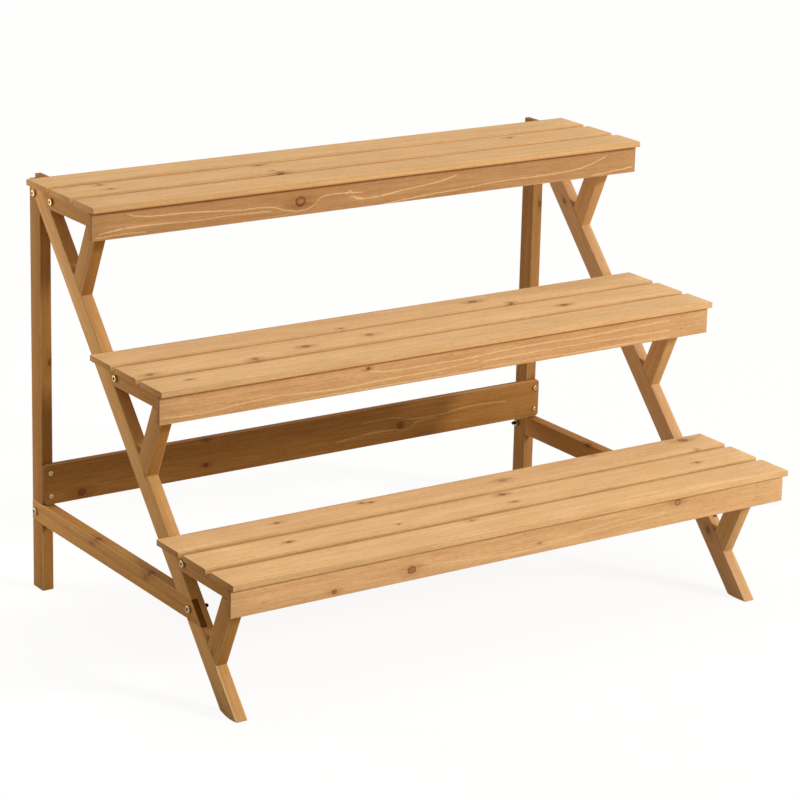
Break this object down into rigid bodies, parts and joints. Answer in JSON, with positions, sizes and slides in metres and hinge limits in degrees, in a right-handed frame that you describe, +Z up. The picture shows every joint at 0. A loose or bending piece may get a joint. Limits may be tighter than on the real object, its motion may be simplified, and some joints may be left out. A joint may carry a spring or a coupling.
{
  "type": "tiered plant stand",
  "caption": "Free-standing stepped plant stand in honey-stained softwood: slatted shelves rising to the back on two diagonal side frames with Y-shaped braces, rear posts and a cross board.",
  "frame": {"origin": "Centre of the object's footprint, on the ground plane under it.", "axes": "+X runs along the shelves to the right as seen from the front, +Y runs from the low front shelf to the posts at the back, +Z is up."},
  "size_m": [0.983, 0.649, 0.655],
  "materials": {
    "shelf_wood": "planed softwood with a honey stain and a clear satin coat, palest on the shelf tops",
    "frame_wood": "planed softwood with a honey stain and a clear satin coat",
    "rear_wood": "planed softwood with a honey stain and a clear satin coat, a browner lot of timber",
    "zinc_plated_steel": "yellow zinc plating, satin"
  },
  "bodies": {
    "root": {"left_post": "rear_wood", "left_stringer": "frame_wood", "left_rail": "frame_wood", "left_bolt_post_top": "zinc_plated_steel", "left_bolt_post_rail": "zinc_plated_steel", "left_bolt_stringer_rail": "zinc_plated_steel", "left_screw_lower": "zinc_plated_steel", "left_screw_upper": "zinc_plated_steel", "right_post": "rear_wood", "right_stringer": "frame_wood", "right_rail": "frame_wood", "right_bolt_post_top": "zinc_plated_steel", "right_bolt_post_rail": "zinc_plated_steel", "right_bolt_stringer_rail": "zinc_plated_steel", "right_screw_lower": "zinc_plated_steel", "right_screw_upper": "zinc_plated_steel", "cross_board": "rear_wood", "slat_1_1": "shelf_wood", "slat_1_2": "shelf_wood", "slat_1_3": "shelf_wood", "apron_1": "frame_wood", "batten_1_left": "frame_wood", "batten_1_middle": "frame_wood", "batten_1_right": "frame_wood", "left_bearer_1": "frame_wood", "left_brace_1": "frame_wood", "left_bolt_bearer_1": "zinc_plated_steel", "right_bearer_1": "frame_wood", "right_brace_1": "frame_wood", "right_bolt_bearer_1": "zinc_plated_steel", "slat_2_1": "shelf_wood", "slat_2_2": "shelf_wood", "slat_2_3": "shelf_wood", "apron_2": "frame_wood", "batten_2_left": "frame_wood", "batten_2_middle": "frame_wood", "batten_2_right": "frame_wood", "left_bearer_2": "frame_wood", "left_brace_2": "frame_wood", "left_bolt_bearer_2": "zinc_plated_steel", "right_bearer_2": "frame_wood", "right_brace_2": "frame_wood", "right_bolt_bearer_2": "zinc_plated_steel", "slat_3_1": "shelf_wood", "slat_3_2": "shelf_wood", "slat_3_3": "shelf_wood", "apron_3": "frame_wood", "batten_3_left": "frame_wood", "batten_3_middle": "frame_wood", "batten_3_right": "frame_wood", "left_bearer_3": "frame_wood", "left_brace_3": "frame_wood", "left_bolt_bearer_3": "zinc_plated_steel", "right_bearer_3": "frame_wood", "right_brace_3": "frame_wood", "right_bolt_bearer_3": "zinc_plated_steel"}
  },
  "joints": []
}
